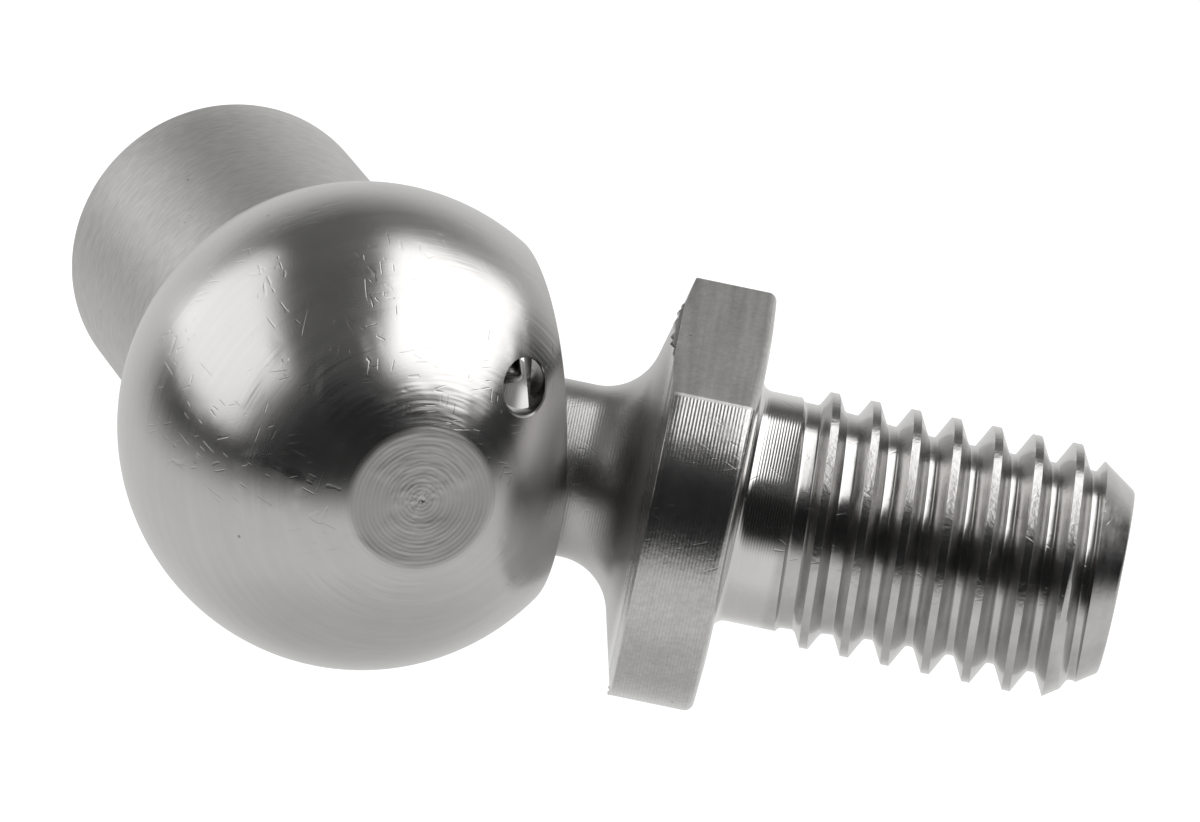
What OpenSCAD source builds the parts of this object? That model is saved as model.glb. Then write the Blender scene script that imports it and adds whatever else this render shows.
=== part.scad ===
// Angle ball joint for the end of a rod: a ball socket with a threaded shank,
// a ball stud with a flatted collar and a threaded end, and the snap ring that
// keeps the ball in the socket. Lengths are in millimetres.
//
// Frame: the origin is the centre of the shank's open end. The shank's axis is Y,
// and +Y leaves its thread. The socket's mouth faces +X. The head is at -Y.
// Every sub-part is drawn round the ball's centre, then moved by at_ball().

/* [Socket head] */
// Diameter of the spherical head
head_d = 14.8; // [14.6:0.1:16]
// Diameter of the flat turned on the head's nose
nose_flat_d = 4.32; // [2:0.1:5]
// Distance from the ball's centre to the flat face round the mouth
mouth_x = 4.95; // [4.8:0.05:5.2]
// Depth and width of the bevel on the mouth's inner edge
mouth_bevel = 0.25; // [0.1:0.05:0.3]

/* [Socket shank] */
// Diameter of the shank
shank_d = 10; // [9:0.1:10.5]
// Distance from the ball's centre to the shank's open end
shank_length = 17.5; // [17:0.5:25]
// Radius of the fillet where the shank meets the head
shank_fillet = 0.8; // [0.4:0.1:1.2]
// Width of the bevel on the shank's outer end
shank_bevel = 0.3; // [0.1:0.1:0.6]
// Diameter of the rod thread's inner wall, the tapping size
rod_thread_d = 5.0; // [4.2:0.1:5.2]
// Length of the rod thread's wall, without the drill point
rod_thread_depth = 9.5; // [7:0.5:9.5]

/* [Ball seat] */
// Diameter of the ball
ball_d = 10; // [9.8:0.05:10]
// Radial clearance of the ball in its seat
ball_clearance = 0.06; // [0.02:0.01:0.1]

/* [Snap ring] */
// Distance from the ball's centre to the ring's plane
ring_x = 3.3; // [3.2:0.05:3.4]
// Diameter of the ring's wire
wire_d = 1.0; // [0.8:0.05:1]
// Radius of the ring, measured to the middle of the wire
ring_radius = 4.85; // [4.8:0.05:4.9]
// Angle left open between the ring's two ends, in degrees
ring_gap = 26; // [20:1:40]
// Angle of the ring's upper end above the head's nose, in degrees
ring_end = 33; // [28:1:38]
// Diameter of the groove's floor, where the ring has room to open
groove_d = 12.0; // [11.6:0.1:12]
// Clearance on each side of the wire in its groove
groove_clearance = 0.05; // [0.03:0.01:0.1]

/* [Ring access hole] */
// Diameter of the small hole that opens onto the ring
access_d = 1.5; // [1:0.1:1.6]
// Distance of the hole's axis from the ball's centre along the mouth's axis
access_x = 3.37; // [3.2:0.01:3.5]
// Height of the hole's axis above the ball's centre
access_z = 2.99; // [2.8:0.01:3.2]

/* [Stud] */
// Diameter of the neck behind the ball
neck_d = 5.32; // [5:0.02:5.4]
// Radius of the fillet between the neck and the collar
neck_fillet = 1.7; // [1:0.1:1.8]
// Diameter of the collar
collar_d = 12.9; // [12:0.1:14]
// Size of the collar across its two spanner flats
spanner_size = 11; // [10:0.5:12]
// Turn of the spanner flats about the stud's axis, in degrees
spanner_turn = 31.6; // [0:0.1:180]
// Distance from the ball's centre to the collar's seat, where a lever rests
seat_x = 11.6; // [11.4:0.1:13]
// Diameter of the flat, round seat on the collar
seat_d = 10.6; // [9:0.1:10.6]
// Fall of the bevel from the seat to the collar's edge
seat_bevel = 0.33; // [0.2:0.01:0.5]
// Distance from the ball's centre to the collar's edge on the ball's side
collar_edge_x = 9; // [8.9:0.01:9.1]
// Slope of the collar's coned face on the ball's side, in degrees
collar_cone = 14.4; // [10:0.2:18]

/* [Stud thread] */
// Diameter of the plain shank between the seat and the thread
plain_d = 7.1; // [6.8:0.05:7.2]
// Distance from the ball's centre to the thread's first groove
thread_x = 13.15; // [13:0.05:14]
// Outer diameter of the thread
thread_d = 7.76; // [7.7:0.01:8]
// Diameter at the bottom of the thread's grooves
root_d = 6.34; // [6.2:0.02:6.6]
// Distance from one thread ridge to the next
pitch = 1.25; // [1.25:0.25:1.5]
// Number of grooves that stand for the thread
thread_grooves = 8; // [4:1:8]
// Diameter of the stud's end face
tip_d = 5.5; // [5:0.1:6]
// Distance from the ball's centre to the stud's end face
tip_x = 23.3; // [23.3:0.1:30]

/* [Stud position] */
// Lean of the stud away from the mouth's axis, in degrees
lean = 20.8; // [0:0.1:21.5]
// Direction of the lean, turned from the nose towards the underside, in degrees
lean_turn = 23.3; // [-180:0.1:180]
// Turn of the stud about its own axis, in degrees
stud_roll = -40; // [-180:1:180]

/* [Hidden] */
$fn = 96;

over = 0.5;               // extra length of a cutting shape past a face
steel_socket = "silver";
steel_stud = "gainsboro";
steel_ring = "slategray";

head_r = head_d / 2;
ball_r = ball_d / 2;
seat_r = ball_r + ball_clearance;
nose_r = nose_flat_d / 2;
nose_y = sqrt(head_r * head_r - nose_r * nose_r);
shank_r = shank_d / 2;
drill_point_rise = rod_thread_d / 2 * tan(31);
// Centre of the fillet circle that touches both the shank and the sphere
fillet_r = shank_r + shank_fillet;
fillet_y = sqrt(pow(head_r + shank_fillet, 2) - fillet_r * fillet_r);
wire_r = wire_d / 2;
groove_r = groove_d / 2;
groove_width = wire_d + 2 * groove_clearance;
collar_r = collar_d / 2;
neck_r = neck_d / 2;
// Where the neck's fillet runs out into the collar's coned face
fillet_end_r = neck_r + neck_fillet * (1 - sin(collar_cone));
fillet_end_x = collar_edge_x - (collar_r - fillet_end_r) * tan(collar_cone);
fillet_x = fillet_end_x - neck_fillet * cos(collar_cone);
thread_r = thread_d / 2;
root_r = root_d / 2;
crest_flat = 0.2 * pitch;
root_flat = 0.2 * pitch;
flank = (pitch - crest_flat - root_flat) / 2;

// The ball's centre, seen from the shank's open end
module at_ball() {
  translate([0, -shank_length, 0]) children();
}

// Turns a shape drawn along +Z so that it runs along +X, with its x towards -Z
module along_x() {
  rotate([0, 90, 0]) children();
}

// Turns a shape drawn along +Z so that it runs along +Y, with its y towards -Z
module along_y() {
  rotate([-90, 0, 0]) children();
}

// ---------------------------------------------------------------- ball socket

// Half outline of the socket's outside, along the shank's axis: the head with its
// nose cut flat, the fillet, and the shank with its end bevel
module socket_outline() {
  difference() {
    union() {
      intersection() {
        circle(head_r);
        translate([0, -nose_y]) square([head_r, 2 * head_r]);
      }
      polygon([
        [0, 0],
        [fillet_r, fillet_y],
        [shank_r, fillet_y],
        [shank_r, shank_length - shank_bevel],
        [shank_r - shank_bevel, shank_length],
        [0, shank_length]
      ]);
    }
    translate([fillet_r, fillet_y]) circle(shank_fillet);
  }
}

// Outside of the socket, cut flat round the mouth
module socket_body() {
  difference() {
    along_y() rotate_extrude() socket_outline();
    translate([mouth_x, -head_r, -head_r]) cube([head_r, head_d, head_d]);
  }
}

// Half outline of the space in the head, along the mouth's axis: a half sphere for
// the ball, the straight way to the mouth with its bevel, and the snap ring's groove
module seat_outline() {
  intersection() {
    circle(seat_r);
    translate([0, -seat_r]) square([seat_r, seat_r]);
  }
  polygon([
    [0, 0],
    [seat_r, 0],
    [seat_r, ring_x - groove_width / 2],
    [groove_r, ring_x - groove_width / 2],
    [groove_r, ring_x + groove_width / 2],
    [seat_r, ring_x + groove_width / 2],
    [seat_r, mouth_x - mouth_bevel],
    [seat_r + mouth_bevel + over, mouth_x + over],
    [0, mouth_x + over]
  ]);
}

module ball_seat() {
  along_x() rotate_extrude() seat_outline();
}

// Hole from the nose's side onto the snap ring
module ring_access() {
  translate([access_x, -head_r, access_z])
    along_y() cylinder(d = access_d, h = head_r - 2 * wire_d);
}

// Rod thread in the shank, with its drill point
module rod_thread() {
  translate([0, shank_length - rod_thread_depth, 0])
    along_y() cylinder(d = rod_thread_d, h = rod_thread_depth + over);
  translate([0, shank_length - rod_thread_depth - drill_point_rise, 0])
    along_y() cylinder(d1 = 0, d2 = rod_thread_d, h = drill_point_rise);
}

module ball_socket() {
  color(steel_socket) at_ball() difference() {
    socket_body();
    ball_seat();
    ring_access();
    rod_thread();
  }
}

// ------------------------------------------------------------------ snap ring

// Open ring of round wire, square to the mouth's axis. It is drawn from straight
// below, and turned so that its gap lies under the end at the access hole.
module snap_ring() {
  color(steel_ring) at_ball() translate([ring_x, 0, 0])
    rotate([ring_gap - ring_end - 90, 0, 0]) along_x()
      rotate_extrude(angle = 360 - ring_gap) translate([ring_radius, 0]) circle(wire_r);
}

// ------------------------------------------------------------------ ball stud

// Half outline of the neck, with the fillet that runs up to the collar
module neck_outline() {
  difference() {
    polygon([
      [0, 0],
      [neck_r, 0],
      [neck_r, fillet_x],
      [fillet_end_r + neck_fillet, fillet_x],
      [fillet_end_r, fillet_end_x],
      [fillet_end_r, seat_x - over],
      [0, seat_x - over]
    ]);
    translate([neck_r + neck_fillet, fillet_x]) circle(neck_fillet);
  }
}

// Half outline of the collar, coned towards the ball and bevelled at the seat
module collar_outline() {
  polygon([
    [0, fillet_end_x],
    [fillet_end_r, fillet_end_x],
    [collar_r, collar_edge_x],
    [collar_r, seat_x - seat_bevel],
    [seat_d / 2, seat_x],
    [0, seat_x]
  ]);
}

// Round collar with two flats for a spanner
module collar() {
  intersection() {
    rotate_extrude() collar_outline();
    rotate([0, 0, spanner_turn])
      translate([-spanner_size / 2, -collar_d, 0])
        cube([spanner_size, 2 * collar_d, seat_x + over]);
  }
}

// Half outline of the plain shank and the thread, one groove after another
module thread_outline() {
  polygon(concat(
    [[0, seat_x - over], [plain_d / 2, seat_x - over], [plain_d / 2, thread_x - flank]],
    [for (i = [0 : thread_grooves - 1], p = [
        [root_r, 0],
        [root_r, root_flat],
        [thread_r, root_flat + flank],
        [thread_r, root_flat + flank + crest_flat]
      ]) [p[0], thread_x + i * pitch + p[1]]],
    [[tip_d / 2, tip_x], [0, tip_x]]
  ));
}

module ball_stud() {
  color(steel_stud) at_ball() rotate([lean_turn, 0, 0]) rotate([0, 0, -lean])
    rotate([stud_roll, 0, 0]) along_x() {
      sphere(ball_r);
      rotate_extrude() neck_outline();
      collar();
      rotate_extrude() thread_outline();
    }
}

ball_socket();
snap_ring();
ball_stud();
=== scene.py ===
"""Looks of the angle ball joint: three turned steel pieces on a pale floor.

Each piece is drawn in millimetres round its own X axis, as a closed skin laid ring
by ring, and placed in the row frame: the origin is the centre of the shank's open
end, the shank's axis is Y, the socket's mouth faces +X, and the head is at -Y.
"""
import math

import bpy
import numpy as np
from mathutils import Matrix, Vector


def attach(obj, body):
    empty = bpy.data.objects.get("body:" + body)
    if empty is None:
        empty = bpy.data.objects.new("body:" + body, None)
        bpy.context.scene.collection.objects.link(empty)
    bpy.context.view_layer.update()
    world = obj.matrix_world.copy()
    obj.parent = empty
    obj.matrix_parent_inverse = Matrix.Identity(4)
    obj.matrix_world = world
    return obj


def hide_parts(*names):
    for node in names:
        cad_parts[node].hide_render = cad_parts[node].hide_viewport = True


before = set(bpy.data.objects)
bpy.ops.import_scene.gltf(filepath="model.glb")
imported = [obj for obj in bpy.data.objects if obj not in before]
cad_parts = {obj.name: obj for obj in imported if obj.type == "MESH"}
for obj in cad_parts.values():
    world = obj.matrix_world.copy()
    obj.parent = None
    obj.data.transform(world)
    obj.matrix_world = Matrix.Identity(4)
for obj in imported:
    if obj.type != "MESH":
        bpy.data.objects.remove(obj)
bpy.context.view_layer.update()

MM = 0.001
rng = np.random.default_rng(7)

# ---------------------------------------------------------------- measures
# Lengths are in millimetres. x runs along a piece's own axis, and r away from it.
SHANK_LENGTH = 17.5
HEAD_R = 7.4
NOSE_R = 2.16
SHANK_R = 5.0
FILLET_R = 0.8
MOUTH_X = 4.95
MOUTH_EDGE_R = 5.4
SEAT_R = 5.06
GROOVE_R = 6.0
ROD_MINOR_R = 2.5
ROD_MAJOR_R = 3.0
ROD_DEPTH = 9.5
RING_X = 3.3
RING_R = 4.85
WIRE_R = 0.5
RING_END = 33.0
RING_GAP = 26.0
ACCESS = (-3.37, 2.99)  # the hole's axis, off the shank's
ACCESS_R = 0.75
ACCESS_END = -4.75  # inside the groove
BALL_R = 5.0
NECK_R = 2.66
NECK_BLEND = 2.6  # hollow between the ball and the neck
NECK_FILLET = 1.7
COLLAR_R = 6.45
SPANNER_FLAT = 5.5
SPANNER_TURN = 31.6
COLLAR_CONE = math.radians(14.4)
CONE_START = (8.355, 3.937)  # x and r where the neck's fillet runs out
SEAT_X = 11.6
SEAT_FACE_R = 5.3
BEVEL_FALL = 0.10 / 1.15
RIM_ROUND = 0.27
SEAT_FILLET = 0.36
PLAIN_R = 3.545
THREAD_R = 3.88
ROOT_R = 3.17
PITCH = 1.25
CREST_HALF = 0.125
FLANK_SLOPE = 1.893
ROOT_ROUND = 0.06
THREAD_START = 12.15
FIRST_CREST = 13.195
FLANK_FALL = 0.302  # from a crest's middle to where its flank meets the plain shank
END_CONE_X = 20.5
END_SLOPE = 0.68
TIP_X = 23.3
TIP_R = 2.75
LEAN = math.radians(20.8)
LEAN_TURN = math.radians(23.3)
STUD_ROLL = math.radians(-40.0)

# ---------------------------------------------------------------- places
BALL_CENTRE = Matrix.Translation((0, -SHANK_LENGTH * MM, 0))
SOCKET_PLACE = BALL_CENTRE @ Matrix.Rotation(math.pi / 2, 4, "Z")
RING_PLACE = BALL_CENTRE @ Matrix.Translation((RING_X * MM, 0, 0))
STUD_PLACE = (
    BALL_CENTRE
    @ Matrix.Rotation(LEAN_TURN, 4, "X")
    @ Matrix.Rotation(-LEAN, 4, "Z")
    @ Matrix.Rotation(STUD_ROLL, 4, "X")
)

# Each piece's own axes, as rows, in the row frame
SOCKET_AXES = SOCKET_PLACE.to_3x3().transposed()
RING_AXES = RING_PLACE.to_3x3().transposed()
STUD_AXES = STUD_PLACE.to_3x3().transposed()

# ---------------------------------------------------------------- mesh tools
def arc(centre, radius, start, end, count):
    """Points (x, r) on a circle, from angle start to end in degrees off +x."""
    angles = np.radians(np.linspace(start, end, count))
    return [(centre[0] + radius * math.cos(a), centre[1] + radius * math.sin(a))
            for a in angles]


def line(start, end, count):
    """Points after start, up to end, in even steps."""
    start, end = np.array(start), np.array(end)
    return [tuple(start + (end - start) * i / count) for i in range(1, count + 1)]


class Skin:
    """A closed skin round the local X axis, laid ring by ring between two poles."""

    def __init__(self, angles):
        self.angles = np.radians(angles)
        self.points = []
        self.faces = []
        self.count = 0
        self.last = None

    def add(self, x, r):
        """Adds a ring's points, without faces, and gives their numbers."""
        x = np.broadcast_to(np.asarray(x, float), self.angles.shape)
        y = -r * np.sin(self.angles)
        z = r * np.cos(self.angles)
        self.points.append(np.stack([x, y, z], 1))
        self.count += len(self.angles)
        return list(range(self.count - len(self.angles), self.count))

    def pole(self, x):
        """Starts or closes the skin in one point on the axis."""
        self.points.append(np.array([[x, 0.0, 0.0]]))
        self.count += 1
        tip = self.count - 1
        if self.last is not None:
            for a, b in self.sides(self.last):
                self.faces.append((a, b, tip))
        self.last = tip

    def sides(self, ring):
        """Neighbouring points of a ring, in pairs all the way round."""
        return zip(ring, ring[1:] + ring[:1])

    def ring(self, x, r):
        """Adds a ring, and the faces that join it to the last one."""
        new = self.add(x, r)
        if isinstance(self.last, int):
            for a, b in self.sides(new):
                self.faces.append((self.last, b, a))
        else:
            for (a, b), (c, d) in zip(self.sides(self.last), self.sides(new)):
                self.faces.append((a, b, d, c))
        self.last = new

    def outline(self, pairs):
        for x, r in pairs:
            self.ring(x, r)

    def screw(self, start, pitch, steps, turns, radius, after):
        """Rows that climb one pitch a turn, from a seam in the first column. steps are
        a turn's row offsets, radius(u, x, angle) gives each row, and the ring at x =
        after closes the far end. The surface is plain where the rows begin."""
        angle = self.angles - self.angles[0]
        climb = pitch * angle / (2 * math.pi)
        offsets = [k * pitch + s for k in range(turns) for s in steps]
        per_turn = len(steps)
        rows = []
        for u in offsets:
            x = start + u + climb
            rows.append(self.add(x, radius(start + u, x, angle)))
        before = self.last
        n = len(self.angles)
        for j in range(n - 1):
            self.faces.append((before[j], before[j + 1], rows[0][j + 1], rows[0][j]))
        seam = [rows[i][0] for i in range(per_turn + 1)]
        self.faces.append(tuple([before[-1], before[0]] + seam + [rows[0][-1]]))
        for i in range(len(rows) - 1):
            low, high = rows[i], rows[i + 1]
            for j in range(n - 1):
                self.faces.append((low[j], low[j + 1], high[j + 1], high[j]))
            if i + 1 + per_turn < len(rows):
                c, d = rows[i + per_turn][0], rows[i + 1 + per_turn][0]
                self.faces.append((low[-1], c, d, high[-1]))
        end = self.add(after[0], after[1])
        top = rows[-1]
        for j in range(n - 1):
            self.faces.append((top[j], top[j + 1], end[j + 1], end[j]))
        tail = [rows[i][-1] for i in range(len(rows) - 1, len(rows) - 2 - per_turn, -1)]
        self.faces.append(tuple([end[0], end[-1]] + tail + [top[0]]))
        self.last = end

    def mesh(self, name, turn=None):
        """The skin as a mesh in metres, turned about the origin if asked."""
        points = np.concatenate(self.points) * MM
        if turn is not None:
            points = points @ np.array(turn.to_3x3()).T
        mesh = bpy.data.meshes.new(name)
        mesh.from_pydata(points.tolist(), [], self.faces)
        mesh.validate()
        return mesh


def place(name, mesh):
    """Puts the mesh in the scene as an object."""
    made = bpy.data.objects.new(name, mesh)
    bpy.context.scene.collection.objects.link(made)
    return made


def carve(base, operation, *cutters):
    """Cuts the base by each cutter in turn, exactly, and removes the cutters."""
    for cutter in cutters:
        tool = base.modifiers.new("cut", "BOOLEAN")
        tool.operation = operation
        tool.solver = "EXACT"
        tool.object = cutter
        bpy.context.view_layer.update()
        graph = bpy.context.evaluated_depsgraph_get()
        cut = bpy.data.meshes.new_from_object(base.evaluated_get(graph))
        base.modifiers.clear()
        old = base.data
        base.data = cut
        bpy.data.meshes.remove(old)
        bpy.data.objects.remove(cutter)


def soften(mesh, sharp_deg):
    """Smooth shading that breaks at edges sharper than the angle."""
    mesh.shade_smooth()
    mesh.set_sharp_from_angle(angle=math.radians(sharp_deg))


# ---------------------------------------------------------------- ball socket
def socket_outline():
    """Outside of the socket, as (x, r) along the shank's axis from the nose."""
    nose_x = -math.sqrt(HEAD_R**2 - NOSE_R**2)
    polar = math.degrees(math.asin(NOSE_R / HEAD_R))
    fillet_r = SHANK_R + FILLET_R
    fillet_x = math.sqrt((HEAD_R + FILLET_R) ** 2 - fillet_r**2)
    tangent = math.degrees(math.atan2(fillet_r, fillet_x))
    pairs = [(nose_x + 0.035, 0.02), (nose_x + 0.022, 0.05)]
    pairs += [(nose_x + 0.003, 0.08), (nose_x, 0.13)]
    for r in np.linspace(0.2, NOSE_R - 0.03, 24):
        pairs.append((nose_x + 0.0015 * math.cos(r * 21.0), r))
    pairs += arc((0, 0), HEAD_R, 180 - polar - 0.25, tangent, 128)
    pairs += arc((fillet_x, fillet_r), FILLET_R, 180 + tangent, 270, 14)[1:]
    pairs += line((fillet_x, SHANK_R), (SHANK_LENGTH - 0.36, SHANK_R), 8)
    pairs += [(SHANK_LENGTH - 0.31, SHANK_R - 0.012), (SHANK_LENGTH - 0.28, SHANK_R - 0.035)]
    pairs += [(SHANK_LENGTH - 0.04, SHANK_R - 0.26), (SHANK_LENGTH - 0.012, SHANK_R - 0.29)]
    pairs += [(SHANK_LENGTH, SHANK_R - 0.33), (SHANK_LENGTH, 4.2), (SHANK_LENGTH, 3.6)]
    return nose_x + 0.04, pairs


def seat_cutter():
    """Space for the ball and the ring, with the mouth's bevel and its broken rim."""
    low, high = RING_X - 0.55, RING_X + 0.55
    pairs = arc((0, 0), SEAT_R, 177, 90, 44)
    pairs += line((0, SEAT_R), (low - 0.03, SEAT_R), 3)
    pairs += [(low, SEAT_R + 0.03), (low, GROOVE_R - 0.08), (low + 0.08, GROOVE_R)]
    pairs += [(high - 0.08, GROOVE_R), (high, GROOVE_R - 0.08), (high, SEAT_R + 0.03)]
    pairs += [(high + 0.03, SEAT_R), (MOUTH_X - 0.27, SEAT_R), (MOUTH_X - 0.24, SEAT_R + 0.01)]
    pairs += [(MOUTH_X - 0.02, SEAT_R + 0.22), (MOUTH_X, SEAT_R + 0.26)]
    pairs += [(MOUTH_X, MOUTH_EDGE_R), (MOUTH_X - 0.02, MOUTH_EDGE_R + 0.06)]
    pairs += [(MOUTH_X - 0.56, MOUTH_EDGE_R + 1.2), (9.0, MOUTH_EDGE_R + 1.3)]
    skin = Skin(np.linspace(0.4, 360.4, 256, endpoint=False))
    skin.pole(-SEAT_R)
    skin.outline(pairs)
    skin.pole(9.2)
    return skin.mesh("seat", Matrix.Rotation(-math.pi / 2, 3, "Z"))


def access_cutter():
    """Hole onto the ring, along the shank's axis, with an even lip on the sphere."""
    centre = np.array(ACCESS)
    angles = np.radians(np.linspace(0, 360, 72, endpoint=False))
    flat = np.stack([-np.sin(angles), np.cos(angles)], 1)
    rows = []
    lip = [(-0.6, 0.085), (-0.05, 0.085), (0.02, 0.055)]
    lip += [(0.06, 0.03), (0.11, 0.012), (0.18, 0.0)]
    for depth, flare in lip:
        yz = centre + flat * (ACCESS_R + flare)
        x = depth - np.sqrt(HEAD_R**2 - (yz**2).sum(1))
        rows.append(np.column_stack([x, yz]))
    yz = centre + flat * ACCESS_R
    rows.append(np.column_stack([np.full(72, ACCESS_END), yz]))
    points = np.concatenate(rows + [[[-8.0, *centre]], [[ACCESS_END, *centre]]]) * MM
    faces = []
    ring = [list(range(72 * i, 72 * i + 72)) for i in range(len(rows))]
    for low, high in zip(ring, ring[1:]):
        for j in range(72):
            k = (j + 1) % 72
            faces.append((low[j], low[k], high[k], high[j]))
    first, last = len(points) - 2, len(points) - 1
    for j in range(72):
        k = (j + 1) % 72
        faces.append((first, ring[0][k], ring[0][j]))
        faces.append((ring[-1][j], ring[-1][k], last))
    mesh = bpy.data.meshes.new("access")
    mesh.from_pydata(points.tolist(), [], faces)
    return mesh


def smooth(low, high, value):
    """Rises from 0 at low to 1 at high, level at both ends."""
    t = np.clip((value - low) / (high - low), 0, 1)
    return t * t * (3 - 2 * t)


def vee(u):
    """Radius of the stud thread's straight flanks and flat crest, at offset u."""
    gap = np.abs((u - FIRST_CREST + PITCH / 2) % PITCH - PITCH / 2)
    return THREAD_R - np.maximum(gap - CREST_HALF, 0) * FLANK_SLOPE


def softer(a, b, width):
    """The larger of a and b, with the corner between them rounded."""
    return 0.5 * (a + b + np.sqrt((a - b) ** 2 + width**2))


def rod_thread_cutter():
    """Tapped hole: drill point, tapping size, and a one-millimetre-pitch thread."""
    floor_x = SHANK_LENGTH - ROD_DEPTH
    skin = Skin(np.linspace(0, 360, 144, endpoint=False))
    skin.pole(floor_x - ROD_MINOR_R * math.tan(math.radians(31)))
    skin.outline(line((floor_x - 1.502, 0), (floor_x, ROD_MINOR_R), 5))
    skin.ring(floor_x + 0.4, ROD_MINOR_R)
    steps = [0, 0.06, 0.12, 0.16, 0.2, 0.3, 0.4, 0.5, 0.56, 0.6, 0.64, 0.7, 0.8, 0.9]

    def radius(u, x, _angle):
        gap = abs((u - floor_x + 0.5) % 1.0 - 0.5)
        full = min(max((0.44 - gap) / 0.32, 0), 1)
        grow = np.clip((x - floor_x - 1.4) / 1.2, 0, 1)
        return ROD_MINOR_R + (ROD_MAJOR_R - ROD_MINOR_R) * full * grow

    skin.screw(floor_x + 0.5, 1.0, steps, 10, radius, (SHANK_LENGTH + 3, ROD_MINOR_R))
    skin.pole(SHANK_LENGTH + 3.2)
    return skin.mesh("rod_thread")


def countersink_cutter():
    """Cone that opens the tapped hole at the shank's end."""
    skin = Skin(np.linspace(0.37, 360.37, 160, endpoint=False))
    skin.pole(SHANK_LENGTH - 1.0)
    skin.outline([(SHANK_LENGTH - 1.0, 2.35), (SHANK_LENGTH - 0.1, 3.2)])
    skin.outline([(SHANK_LENGTH - 0.03, 3.25), (SHANK_LENGTH + 0.01, 3.34)])
    skin.ring(SHANK_LENGTH + 0.5, 3.6)
    skin.pole(SHANK_LENGTH + 0.6)
    return skin.mesh("countersink")


def round_normals(mesh, centre, radius):
    """Exact normals on the faces that lie on the head's sphere, whatever was cut."""
    corners = np.zeros(len(mesh.loops), int)
    mesh.loops.foreach_get("vertex_index", corners)
    points = np.zeros(len(mesh.vertices) * 3)
    mesh.vertices.foreach_get("co", points)
    points = points.reshape(-1, 3) - centre
    reach = np.linalg.norm(points, axis=1)
    normals = np.zeros((len(corners), 3))
    for face in mesh.polygons:
        own = corners[face.loop_start:face.loop_start + face.loop_total]
        if np.abs(reach[own] - radius).max() > 2e-6:
            continue
        out = points[own].mean(0)
        if np.dot(face.normal, out) < 0.995 * np.linalg.norm(out):
            continue
        normals[face.loop_start:face.loop_start + face.loop_total] = (
            points[own] / reach[own][:, None]
        )
    mesh.normals_split_custom_set(normals.tolist())


def make_socket():
    """Head and shank in one, with the seat, the access hole and the tapped hole."""
    start, pairs = socket_outline()
    skin = Skin(np.linspace(0, 360, 256, endpoint=False))
    skin.pole(start)
    skin.outline(pairs)
    skin.pole(SHANK_LENGTH)
    piece = place("socket_body", skin.mesh("socket_body"))
    cutters = [rod_thread_cutter(), countersink_cutter(), seat_cutter(), access_cutter()]
    carve(piece, "DIFFERENCE", *[place(m.name, m) for m in cutters])
    piece.data.transform(SOCKET_PLACE)
    soften(piece.data, 32)
    round_normals(piece.data, np.array(BALL_CENTRE.translation), HEAD_R * MM)
    return piece


# ---------------------------------------------------------------- snap ring
def make_ring():
    """Open ring of round wire, with sheared ends that are slightly rounded."""
    round_count, along = 40, 220
    first = RING_END
    last = first + 360 - RING_GAP
    ends = [0.0, 0.02, 0.06, 0.13]
    inset = [0.13, 0.06, 0.018, 0.0]
    deg = [first + math.degrees(e / RING_R) for e in ends]
    deg += list(np.linspace(deg[-1], last - (deg[-1] - first), along))[1:-1]
    deg += [last - math.degrees(e / RING_R) for e in ends[::-1]]
    size = [WIRE_R - i for i in inset] + [WIRE_R] * (along - 2)
    size += [WIRE_R - i for i in inset[::-1]]
    around = np.radians(np.linspace(0, 360, round_count, endpoint=False))
    rows = []
    for angle, r in zip(np.radians(deg), size):
        reach = RING_R + r * np.cos(around)
        y, z = -np.cos(angle) * reach, np.sin(angle) * reach
        rows.append(np.stack([r * np.sin(around), y, z], 1))
    points = np.concatenate(rows) * MM
    faces = []
    for i in range(len(rows) - 1):
        for j in range(round_count):
            k = (j + 1) % round_count
            a, b = i * round_count, (i + 1) * round_count
            faces.append((a + j, b + j, b + k, a + k))
    faces.append(tuple(range(round_count)))
    top = (len(rows) - 1) * round_count
    faces.append(tuple(range(top + round_count - 1, top - 1, -1)))
    mesh = bpy.data.meshes.new("ring_wire")
    mesh.from_pydata(points.tolist(), [], faces)
    mesh.validate()
    mesh.transform(RING_PLACE)
    soften(mesh, 40)
    return place("ring_wire", mesh)


# ---------------------------------------------------------------- ball stud
def collar_radius(angles):
    """Outline of the round collar with its two spanner flats."""
    lean = np.abs(np.cos(np.radians(angles - SPANNER_TURN)))
    flat = SPANNER_FLAT / np.maximum(lean, 0.2)
    return 0.5 * (flat + COLLAR_R - np.sqrt((flat - COLLAR_R) ** 2 + 0.012**2))


def stud_angles():
    """Column angles in degrees, from one of the flats' corners, crowded at all four."""
    half = math.degrees(math.acos(SPANNER_FLAT / COLLAR_R))
    corner = SPANNER_TURN + 180 - half
    parts = []
    for count, width in ((44, 2 * half), (76, 180 - 2 * half)) * 2:
        u = np.linspace(-1, 1, count + 1)[:-1]
        within = (1 + 0.12 * u + 0.88 * np.sin(math.pi / 2 * u)) / 2
        parts.append(corner + width * within)
        corner += width
    return np.concatenate(parts)


def burrs(angles):
    """How far torn bits of metal stand off the collar's edge towards the ball."""
    noise = rng.random(len(angles))
    torn = np.zeros(len(angles))
    for start, end, size in ((12.0, 46.0, 0.2), (168.0, 184.0, 0.1)):
        at = (angles - start) % 360
        inside = at < end - start
        swell = np.sin(np.pi * np.clip(at / (end - start), 0, 1))
        torn += inside * size * np.sqrt(np.abs(swell)) * noise
    return torn


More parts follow.
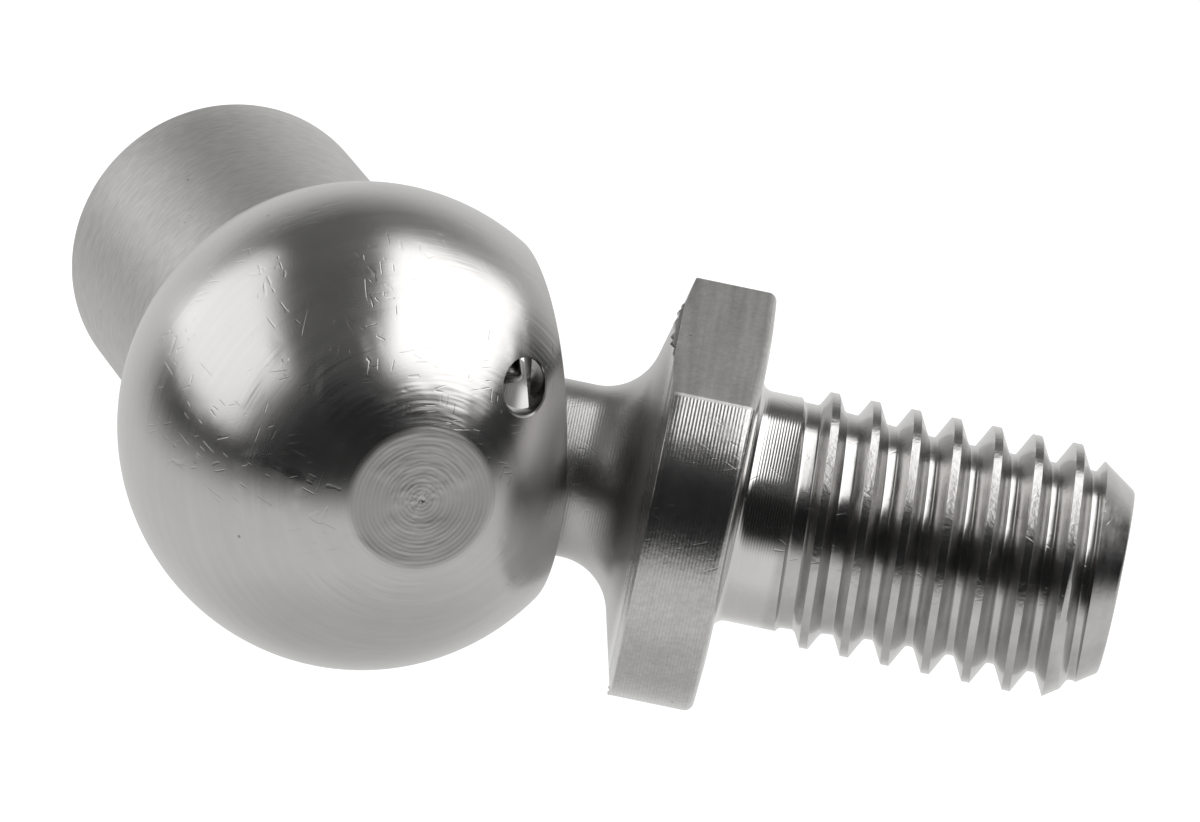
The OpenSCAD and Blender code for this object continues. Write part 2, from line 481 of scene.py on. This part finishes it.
def edge_turn(skin, rim, radius, count):
    """Rounds the collar's rim into the turned bevel on the seat's side."""
    fall = math.atan(BEVEL_FALL)
    turn = math.pi / 2 - fall
    length = radius * math.tan(turn / 2)
    bevel_x = SEAT_X - BEVEL_FALL * (rim - SEAT_FACE_R)
    for i in range(count + 1):
        a = turn * i / count
        x = bevel_x - length + radius * math.sin(a)
        skin.ring(x, rim - radius + radius * math.cos(a))


def make_stud():
    """Ball, neck, collar, plain shank and thread, trimmed to the turned end."""
    angles = stud_angles()
    skin = Skin(angles)
    rim = collar_radius(angles)
    skin.pole(-BALL_R)
    join_r = NECK_R + NECK_BLEND
    join_x = math.sqrt((BALL_R + NECK_BLEND) ** 2 - join_r**2)
    join = math.degrees(math.atan2(join_r, join_x))
    skin.outline(arc((0, 0), BALL_R, 177.5, join, 56))
    skin.outline(arc((join_x, join_r), NECK_BLEND, 180 + join, 270, 16)[1:])
    fillet_x = CONE_START[0] - NECK_FILLET * math.cos(COLLAR_CONE)
    skin.outline(line((join_x, NECK_R), (fillet_x, NECK_R), 4))
    end = 360 - math.degrees(COLLAR_CONE)
    skin.outline(arc((fillet_x, NECK_R + NECK_FILLET), NECK_FILLET, 270, end, 18)[1:])
    cone = math.tan(COLLAR_CONE)
    rim_x = CONE_START[0] + (rim - CONE_START[1]) * cone
    for s in np.linspace(0, 1, 8)[1:-1]:
        r = CONE_START[1] + s * (rim - CONE_START[1])
        skin.ring(CONE_START[0] + (r - CONE_START[1]) * cone, r)
    torn = burrs(angles)
    skin.ring(rim_x - 0.02 - 0.1 * torn, rim - 0.07)
    skin.ring(rim_x - 0.01 - torn, rim - 0.04 - 0.3 * torn)
    skin.ring(rim_x - 0.8 * torn, rim - 0.01 + 0.2 * torn)
    skin.ring(rim_x + 0.03, rim)
    flat_end = SEAT_X - BEVEL_FALL * (rim - SEAT_FACE_R) - 0.25
    for s in (0.15, 0.35, 0.65):
        skin.ring(rim_x + s * (flat_end - rim_x), rim)
    edge_turn(skin, rim, RIM_ROUND, 8)
    skin.ring(SEAT_X - 0.003, SEAT_FACE_R - 0.12)
    skin.ring(SEAT_X, SEAT_FACE_R - 0.2)
    foot = PLAIN_R + SEAT_FILLET
    skin.outline([(SEAT_X, 4.6), (SEAT_X, foot)])
    skin.outline(arc((SEAT_X + SEAT_FILLET, foot), SEAT_FILLET, 180, 270, 9)[1:])
    skin.ring(THREAD_START - 0.05, PLAIN_R)
    groove = FIRST_CREST - PITCH + FLANK_FALL

    def radius(u, x, angle):
        root = ROOT_R + 0.25 * (1 - smooth(13.0, 17.5, x))
        cut = softer(vee(u), root, ROOT_ROUND)
        turn = math.floor((u - groove) / PITCH + 1e-6)
        grow = smooth(-math.pi, 0, angle - math.pi + 2 * math.pi * turn)
        return PLAIN_R + (cut - PLAIN_R) * grow

    middle = FIRST_CREST - THREAD_START
    near = [0.0, 0.045, 0.08, 0.105, 0.125, 0.14, 0.16, 0.2]
    near += [0.27, 0.35, 0.43, 0.47, 0.5, 0.53, 0.58]
    both = sorted([(middle + s) % PITCH for s in near]
                  + [(middle - s) % PITCH for s in near[1:]]
                  + [groove - THREAD_START])
    steps = [s for i, s in enumerate(both) if i == 0 or s - both[i - 1] > 0.004]
    skin.screw(THREAD_START, PITCH, steps, 10, radius, (27.5, 3.0))
    skin.pole(28.0)
    piece = place("stud_body", skin.mesh("stud_body"))
    body = Skin(np.linspace(0.3, 360.3, 192, endpoint=False))
    body.pole(-8.0)
    cone = (END_CONE_X, TIP_R + 0.05 + (TIP_X - END_CONE_X) * END_SLOPE)
    body.outline([(-7.8, 10.0), (20.0, 10.0), cone])
    body.outline(line(cone, (TIP_X - 0.09, TIP_R + 0.11), 6))
    body.outline([(TIP_X - 0.04, TIP_R + 0.07), (TIP_X - 0.008, TIP_R + 0.01)])
    body.outline([(TIP_X, TIP_R - 0.08), (TIP_X - 0.005, 2.4), (TIP_X - 0.05, 2.15)])
    body.outline([(TIP_X - 0.13, 1.8), (TIP_X - 0.17, 1.0)])
    body.pole(TIP_X - 0.18)
    carve(piece, "INTERSECT", place("turned", body.mesh("turned")))
    piece.data.transform(STUD_PLACE)
    soften(piece.data, 32)
    return piece


# ---------------------------------------------------------------- node tools
class Graph:
    """Adds nodes to a tree and links them, so that a formula reads in a line."""

    def __init__(self, tree):
        self.tree = tree
        tree.nodes.clear()

    def put(self, socket, value):
        if isinstance(value, bpy.types.NodeSocket):
            self.tree.links.new(value, socket)
        else:
            socket.default_value = value

    def node(self, kind, inputs=None, **settings):
        made = self.tree.nodes.new(kind)
        for key, value in settings.items():
            setattr(made, key, value)
        for key, value in (inputs or {}).items():
            self.put(made.inputs[key], value)
        return made

    def math(self, operation, *values, clamp=False):
        made = self.node("ShaderNodeMath", operation=operation, use_clamp=clamp)
        for i, value in enumerate(values):
            self.put(made.inputs[i], value)
        return made.outputs[0]

    def vector(self, operation, *values):
        made = self.node("ShaderNodeVectorMath", operation=operation)
        for i, value in enumerate(values):
            self.put(made.inputs[i], value)
        single = operation in ("DOT_PRODUCT", "LENGTH", "DISTANCE")
        return made.outputs["Value" if single else "Vector"]

    def scaled(self, vector, factor):
        made = self.node("ShaderNodeVectorMath", operation="SCALE")
        self.put(made.inputs[0], vector)
        self.put(made.inputs["Scale"], factor)
        return made.outputs["Vector"]

    def ramp(self, value, low, high, out_low=0.0, out_high=1.0):
        made = self.node("ShaderNodeMapRange", interpolation_type="SMOOTHSTEP")
        for i, v in enumerate((value, low, high, out_low, out_high)):
            self.put(made.inputs[i], v)
        return made.outputs[0]

    def split(self, vector):
        return self.node("ShaderNodeSeparateXYZ", {0: vector}).outputs

    def join(self, x, y, z):
        return self.node("ShaderNodeCombineXYZ", {0: x, 1: y, 2: z}).outputs[0]

    def noise(self, vector, scale=1.0, detail=2.0, rough=0.5):
        made = self.node("ShaderNodeTexNoise", {
            "Vector": vector, "Scale": scale, "Detail": detail, "Roughness": rough})
        return made.outputs[0]

    def total(self, *values):
        result = values[0]
        for value in values[1:]:
            result = self.math("ADD", result, value)
        return result

    def times(self, *values):
        result = values[0]
        for value in values[1:]:
            result = self.math("MULTIPLY", result, value)
        return result


def material(name):
    made = bpy.data.materials.new(name)
    made.use_nodes = True
    return made, Graph(made.node_tree)


# ---------------------------------------------------------------- steel
STEEL_TINT = (1.0, 0.985, 0.965)


def own_place(g, axes, centre):
    """The point from the piece's centre, in the row's axes and in the piece's own."""
    where = g.node("ShaderNodeTexCoord").outputs["Object"]
    offset = g.vector("SUBTRACT", where, tuple(centre))
    parts = [g.vector("DOT_PRODUCT", offset, tuple(axis)) for axis in axes]
    return offset, g.join(*parts)


def steel(name, axes, centre, grey, rough, spin, draw):
    """Turned steel. draw(graph, place) gives the height in metres, a roughness
    factor and a brightness factor, from the piece's own coordinates. spin is how
    much the turning marks stretch a highlight across themselves."""
    made, g = material(name)
    offset, own = own_place(g, axes, centre)
    height, rough_factor, grey_factor = draw(g, own)
    around = g.vector("CROSS_PRODUCT", tuple(axes[0]), offset)
    turned = g.node("ShaderNodeVectorTransform", {0: around}, vector_type="VECTOR",
                    convert_from="OBJECT", convert_to="WORLD").outputs[0]
    normal = g.node("ShaderNodeNewGeometry").outputs["Normal"]
    across = g.vector("NORMALIZE", g.vector("CROSS_PRODUCT", turned, normal))
    bump = g.node("ShaderNodeBump", {"Strength": 1.0, "Distance": 1.0, "Height": height})
    colour = g.scaled(tuple(grey * t for t in STEEL_TINT), grey_factor)
    shader = g.node("ShaderNodeBsdfPrincipled", {
        "Base Color": colour, "Metallic": 1.0, "Anisotropic": spin,
        "Roughness": g.math("MULTIPLY", rough_factor, rough, clamp=True),
        "Tangent": across, "Normal": bump.outputs[0]})
    out = g.node("ShaderNodeOutputMaterial")
    g.put(out.inputs[0], shader.outputs[0])
    return made


def ring_noise(g, along, side, period, stretch, detail=2.0, shift=0.0):
    """Noise drawn out round the axis: period is its size along, in metres, and
    a larger stretch breaks it up more often round the axis."""
    around = g.scaled(side, stretch)
    lift = g.join(g.math("MULTIPLY_ADD", along, 1.0 / period, shift), 0.0, 0.0)
    return g.noise(g.vector("ADD", lift, around), 1.0, detail)


def axis_parts(g, where):
    """x along the axis, r from it, and the unit vector across it."""
    x = g.split(where)[0]
    across = g.vector("MULTIPLY", where, (0.0, 1.0, 1.0))
    r = g.vector("LENGTH", across)
    return x, r, g.vector("NORMALIZE", across)


def scratches(g, where, turn, spacing, length, width, low=0.6):
    """Sparse straight marks that run one way, as a mask from 0 to 1."""
    turned = g.node("ShaderNodeMapping", {"Vector": where, "Rotation": turn}).outputs[0]
    sheets = g.vector("MULTIPLY", turned, (1 / spacing, 0.12 / spacing, 0.12 / spacing))
    lines = g.math("ABSOLUTE", g.math("SUBTRACT", g.noise(sheets, 1.0, 0.0), 0.5))
    thin = g.ramp(lines, 0.0, width, 1.0, 0.0)
    broken = g.ramp(g.noise(turned, 1 / length, 0.0), low, low + 0.05)
    return g.times(thin, broken)


def grooves(g, along, period, wobble):
    """Regular turned grooves across a length, from -1 to 1, a little uneven."""
    phase = g.total(g.math("MULTIPLY", along, 2 * math.pi / period), g.times(wobble, 3.0))
    return g.math("SINE", phase)


def specks(g, where, spacing, size, share):
    """Small round pits, at a share of the cells, as a mask from 0 to 1."""
    cells = g.node("ShaderNodeTexVoronoi", {"Vector": where, "Scale": 1 / spacing})
    near = g.ramp(cells.outputs["Distance"], size * 0.6, size, 1.0, 0.0)
    chance = g.split(cells.outputs["Color"])[0]
    return g.times(near, g.math("LESS_THAN", chance, share))


def socket_marks(g, where):
    """Head: turned rings, scratches and pits. Nose: close rings. Shank: brushing.
    Inside the head the steel is dull, and darkened with painted shade in the hollow."""
    x, r, side = axis_parts(g, where)
    polar = g.times(g.math("ARCTAN2", r, g.math("MULTIPLY", x, -1.0)), HEAD_R * MM)
    on_shank = g.ramp(x, 5.2 * MM, 5.6 * MM)
    on_nose = g.ramp(x, -7.06 * MM, -7.02 * MM, 1.0, 0.0)
    along = g.math("ADD", polar, g.times(on_shank, x))
    fine = ring_noise(g, along, side, 0.00008, 3.0, 2.0)
    wide = ring_noise(g, along, side, 0.0003, 1.5, 2.0, 5.0)
    strokes = ring_noise(g, along, side, 0.00013, 11.0, 3.0, 9.0)
    arcs = ring_noise(g, along, side, 0.00022, 1.6, 1.0, 13.0)
    worn = g.ramp(g.noise(where, 380.0, 2.0), 0.46, 0.6)
    near_nose = g.ramp(x, -6.6 * MM, -3.2 * MM, 1.0, 0.25)
    on_head = g.math("SUBTRACT", 1.0, on_shank)
    off_nose = g.math("SUBTRACT", 1.0, on_nose)
    # painted shade: the hollow inside the head, within 6.2 mm of the ball's centre, is darkened
    # (and also made rougher)
    inside = g.ramp(g.vector("LENGTH", where), 6.2 * MM, 6.35 * MM, 1.0, 0.0)
    patches = g.noise(where, 700.0, 3.0)
    grain = g.noise(where, 12000.0, 2.0)
    cuts = g.total(
        scratches(g, where, (0.4, 1.1, 0.3), 0.0004, 0.0005, 0.03, 0.61),
        scratches(g, where, (1.3, 0.2, 1.9), 0.0004, 0.0004, 0.03, 0.61),
        scratches(g, where, (2.2, 1.6, 0.9), 0.0004, 0.0006, 0.03, 0.61))
    pits = specks(g, where, 0.0013, 0.05, 0.25)
    nose_noise = ring_noise(g, r, side, 0.00007, 0.3, 2.0)
    nose_rings = grooves(g, r, 0.00013, nose_noise)
    height = g.total(
        g.times(on_head, fine, g.total(0.6e-6, g.times(worn, 1.6e-6))),
        g.times(on_head, arcs, worn, near_nose, 20e-6),
        g.times(on_shank, strokes, 9.0e-6),
        g.times(on_nose, nose_rings, 0.7e-6), g.times(on_nose, nose_noise, 0.8e-6),
        g.times(grain, 0.6e-6), g.times(cuts, off_nose, -2.1e-6), g.times(pits, -3e-6))
    rough = g.total(0.72, g.times(wide, 0.2), g.times(patches, 0.16),
                    g.times(on_shank, 0.6), g.times(on_nose, 0.5), g.times(inside, 1.2))
    grey = g.total(0.9, g.times(wide, 0.12), g.times(patches, 0.1), g.times(on_shank, -0.33),
                   g.times(on_shank, strokes, 0.52), g.times(on_nose, 0.03),
                   g.times(on_nose, nose_rings, 0.03), g.times(inside, -0.55),
                   g.times(pits, -0.45))
    return height, rough, grey


def stud_marks(g, where):
    """Turned and milled steel: bright at the plain shank and thread, duller at the
    neck and collar, with painted shade on the ball where it sits in its seat and on the neck next
    to the ball."""
    x, r, side = axis_parts(g, where)
    from_middle = g.math("ABSOLUTE", g.math("SUBTRACT", x, 10.2 * MM))
    near_collar = g.math("LESS_THAN", from_middle, 1.39 * MM)
    on_collar = g.times(near_collar, g.math("GREATER_THAN", r, 5.4 * MM))
    a = math.radians(SPANNER_TURN)
    out = g.math("ABSOLUTE", g.vector("DOT_PRODUCT", where, (0.0, -math.sin(a), math.cos(a))))
    on_flat = g.times(on_collar, g.ramp(out, 5.44 * MM, 5.48 * MM),
                      g.math("LESS_THAN", out, 5.52 * MM))
    on_thread = g.ramp(x, 12.9 * MM, 13.2 * MM)
    on_crest = g.times(on_thread, g.ramp(r, 3.7 * MM, 3.82 * MM))
    on_neck = g.ramp(x, 8.6 * MM, 8.9 * MM, 1.0, 0.0)
    on_plain = g.times(g.ramp(x, 11.7 * MM, 11.8 * MM), g.math("SUBTRACT", 1.0, on_thread))
    on_round = g.math("SUBTRACT", on_collar, on_flat)
    wide = ring_noise(g, x, side, 0.0004, 1.5, 2.0, 5.0)
    streaks = ring_noise(g, x, side, 0.00022, 1.2, 2.0, 3.0)
    feed = grooves(g, x, 0.000105, wide)
    turning = grooves(g, x, 0.000085, wide)
    mottle = g.noise(where, 6500.0, 3.0, 0.6)
    cloud = g.noise(where, 1100.0, 4.0, 0.6)
    grain = g.noise(where, 14000.0, 2.0)
    patchy = g.ramp(cloud, 0.35, 0.6, 0.35, 1.0)
    # painted shade: the ball is darkened where it sits inside the socket's seat
    in_socket_shade = g.ramp(x, 4.3 * MM, 4.7 * MM, 1.0, 0.0)
    # painted shade: the neck is darkened near the ball, where the socket's head shades it
    near_ball_shade = g.ramp(x, 6.2 * MM, 7.0 * MM, 1.0, 0.0)
    cuts = g.total(
        scratches(g, where, (0.4, 1.1, 0.3), 0.0004, 0.0004, 0.03),
        scratches(g, where, (1.3, 0.2, 1.9), 0.0004, 0.0004, 0.03))
    pits = specks(g, where, 0.0009, 0.07, 0.25)
    height = g.total(
        g.times(on_plain, turning, 1.3e-6), g.times(on_neck, turning, 0.9e-6),
        g.times(on_thread, streaks, 4.0e-6), g.times(grain, 0.3e-6), g.times(cuts, -2.0e-6),
        g.times(on_round, feed, patchy, 2.4e-6), g.times(on_collar, mottle, 5.0e-6),
        g.times(on_neck, mottle, 6.0e-6), g.times(on_crest, mottle, 6.0e-6),
        g.times(on_thread, mottle, 2.0e-6), g.times(pits, on_collar, -4e-6))
    rough = g.total(0.85, g.times(wide, 0.3), g.times(on_collar, 0.55), g.times(on_neck, 1.1),
                    g.times(on_flat, 1.1), g.times(on_thread, cloud, 1.3), g.times(on_thread, -0.3))
    grey = g.total(0.95, g.times(wide, 0.12), g.times(on_collar, -0.5), g.times(on_flat, -0.25),
                   g.times(on_neck, -0.22), g.times(on_thread, -0.36),
                   g.times(on_thread, cloud, 0.36),
                   g.times(on_round, feed, patchy, 0.04), g.times(in_socket_shade, -0.5),
                   g.times(near_ball_shade, -0.12), g.times(on_flat, streaks, 0.42),
                   g.times(on_collar, cloud, 0.22), g.times(on_collar, mottle, 0.36),
                   g.times(pits, on_collar, -0.5))
    return height, rough, grey


def ring_marks(g, where):
    """Drawn spring wire, with a fine even grain."""
    grain = g.noise(where, 9000.0, 2.0)
    height = g.times(grain, 0.8e-6)
    rough = g.total(0.8, g.times(grain, 0.4))
    grey = g.total(0.9, g.times(grain, 0.2))
    return height, rough, grey


# ---------------------------------------------------------------- pieces
socket = make_socket()
socket.data.materials.append(steel(
    "socket_steel", SOCKET_AXES, SOCKET_PLACE.translation, 0.52, 0.27, 0.5, socket_marks))
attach(socket, "socket")
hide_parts("ball_socket")

ring = make_ring()
ring.data.materials.append(steel(
    "ring_steel", RING_AXES, RING_PLACE.translation, 0.45, 0.3, 0.0, ring_marks))
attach(ring, "ring")
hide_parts("snap_ring")

stud = make_stud()
stud.data.materials.append(steel(
    "stud_steel", STUD_AXES, STUD_PLACE.translation, 0.64, 0.16, 0.4, stud_marks))
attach(stud, "stud")
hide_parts("ball_stud")

# ---------------------------------------------------------------- camera
RIGHT = Vector((0.96172, -0.26866, 0.05395))
UP = Vector((0.03369, 0.31131, 0.94971))
BACK = Vector((-0.27194, -0.91154, 0.30844))
AIM = Vector((0.00694, -0.0193, 0.00081))
DISTANCE = 0.3534

lens = bpy.data.cameras.new("camera")
lens.lens = 350.5
lens.sensor_width = 36.0
lens.clip_start = 0.01
lens.clip_end = 20.0
camera = bpy.data.objects.new("camera", lens)
bpy.context.scene.collection.objects.link(camera)
turn = Matrix((RIGHT, UP, BACK)).transposed().to_4x4()
camera.matrix_world = Matrix.Translation(AIM + BACK * DISTANCE) @ turn
bpy.context.scene.camera = camera

# ---------------------------------------------------------------- floor
FLOOR_R = 0.6
FLOOR_SIDES = 96
FLOOR_GREY = 0.2
FLOOR_GLOW = 0.96
FLOOR_UP = Vector((-0.07186, -0.14250, 0.98718)).normalized()
# The floor is low enough for the stud's tip, which swings in a circle about X
TIP_REACH = Vector((0.0228, -SHANK_LENGTH * MM, 0.0))
TIP_SWING = 0.0125
FLOOR_HEIGHT = FLOOR_UP.dot(TIP_REACH) - TIP_SWING
TO_CAMERA = (BACK - FLOOR_UP * BACK.dot(FLOOR_UP)).normalized()
TO_RIGHT = TO_CAMERA.cross(FLOOR_UP) * -1.0


def make_floor():
    """Pale disc that only the camera sees. The world gives its reflection."""
    mesh = bpy.data.meshes.new("floor")
    rim = [math.radians(360 * i / FLOOR_SIDES) for i in range(FLOOR_SIDES)]
    centre = Vector((0.008, -0.0175, 0.0))
    centre += FLOOR_UP * (FLOOR_HEIGHT - FLOOR_UP.dot(centre))
    points = [centre + (TO_RIGHT * math.cos(a) + TO_CAMERA * -math.sin(a)) * FLOOR_R
              for a in rim]
    mesh.from_pydata([tuple(p) for p in points], [], [tuple(range(FLOOR_SIDES))])
    if mesh.polygons[0].normal.dot(FLOOR_UP) < 0:
        mesh.flip_normals()
    piece = place("floor", mesh)
    made, g = material("floor_paper")
    diffuse = g.node("ShaderNodeBsdfDiffuse", {"Color": (FLOOR_GREY, FLOOR_GREY, FLOOR_GREY, 1)})
    glow = g.node("ShaderNodeEmission", {"Color": (1, 1, 1, 1), "Strength": FLOOR_GLOW})
    both = g.node("ShaderNodeAddShader", {0: diffuse.outputs[0], 1: glow.outputs[0]})
    out = g.node("ShaderNodeOutputMaterial")
    g.put(out.inputs[0], both.outputs[0])
    mesh.materials.append(made)
    piece.visible_glossy = False
    piece.visible_diffuse = False
    piece.visible_transmission = False
    piece.visible_shadow = False


make_floor()


# ---------------------------------------------------------------- light
# Soft boxes: elevation and azimuth from the camera's side in degrees, half width,
# half height and edge as tangents. The lights' strengths follow.
LEFT_BOX = (32, -95.5, 0.713, 0.41, 0.10)
RIGHT_BOX = (53.5, 93, 0.753, 0.50, 0.10)
LEFT_LIGHT = 1.5
RIGHT_LIGHT = 2.2
FLOOR_LIGHT = 0.82
ROOM_LIGHT = 0.012
BACKDROP_LIGHT = 1.05


def box_light(g, ray, elevation, azimuth, wide, high, edge):
    """Mask of a soft box in the sky, square in its own window on the sky."""
    e, a = math.radians(elevation), math.radians(azimuth)
    flat = TO_CAMERA * math.cos(a) + TO_RIGHT * math.sin(a)
    to = flat * math.cos(e) + FLOOR_UP * math.sin(e)
    upward = FLOOR_UP * math.cos(e) - flat * math.sin(e)
    level = to.cross(upward)
    depth = g.vector("DOT_PRODUCT", ray, tuple(to))
    across = g.math("DIVIDE", g.vector("DOT_PRODUCT", ray, tuple(level)), depth)
    above = g.math("DIVIDE", g.vector("DOT_PRODUCT", ray, tuple(upward)), depth)
    inside = g.ramp(g.math("ABSOLUTE", across), wide - edge, wide + edge, 1.0, 0.0)
    between = g.ramp(g.math("ABSOLUTE", above), high - edge, high + edge, 1.0, 0.0)
    front = g.math("GREATER_THAN", depth, 0.05)
    return g.times(inside, between, front)


def make_light():
    """The studio as each surface reflects it. The camera itself sees plain white."""
    world = bpy.data.worlds.new("studio")
    bpy.context.scene.world = world
    world.use_nodes = True
    g = Graph(world.node_tree)
    ray = g.vector("NORMALIZE", g.node("ShaderNodeTexCoord").outputs["Generated"])
    up = g.vector("DOT_PRODUCT", ray, tuple(FLOOR_UP))
    near = g.vector("DOT_PRODUCT", ray, tuple(TO_CAMERA))
    facing = g.ramp(near, -0.75, -0.3)
    behind = g.math("SUBTRACT", 1.0, facing)
    floor_near = g.ramp(up, -0.36, 0.03, 1.0, 0.0)
    floor_far = g.ramp(up, 0.06, 0.62, 1.0, 0.0)
    below = g.ramp(up, -1.0, -0.7, 0.76, 1.0)
    floor = g.times(below, g.total(g.times(facing, floor_near), g.times(behind, floor_far)))
    overhead = g.times(g.ramp(up, 0.55, 0.95), 0.11)
    ceiling = g.total(overhead, g.times(behind, g.ramp(up, 0.2, 0.5), 0.10))
    left = box_light(g, ray, *LEFT_BOX)
    right = box_light(g, ray, *RIGHT_BOX)
    light = g.total(ROOM_LIGHT, ceiling, g.times(floor, FLOOR_LIGHT),
                    g.times(left, LEFT_LIGHT), g.times(right, RIGHT_LIGHT))
    seen = g.node("ShaderNodeLightPath").outputs["Is Camera Ray"]
    unseen = g.math("SUBTRACT", 1.0, seen)
    level = g.math("MAXIMUM", g.times(seen, BACKDROP_LIGHT), g.times(light, unseen))
    back = g.node("ShaderNodeBackground", {"Color": (1, 1, 1, 1), "Strength": level})
    out = g.node("ShaderNodeOutputWorld")
    g.put(out.inputs[0], back.outputs[0])


make_light()
scene = bpy.context.scene
scene.view_settings.view_transform = "Standard"
scene.view_settings.look = "None"
scene.cycles.caustics_reflective = False
scene.cycles.caustics_refractive = False
scene.cycles.sample_clamp_indirect = 4.0
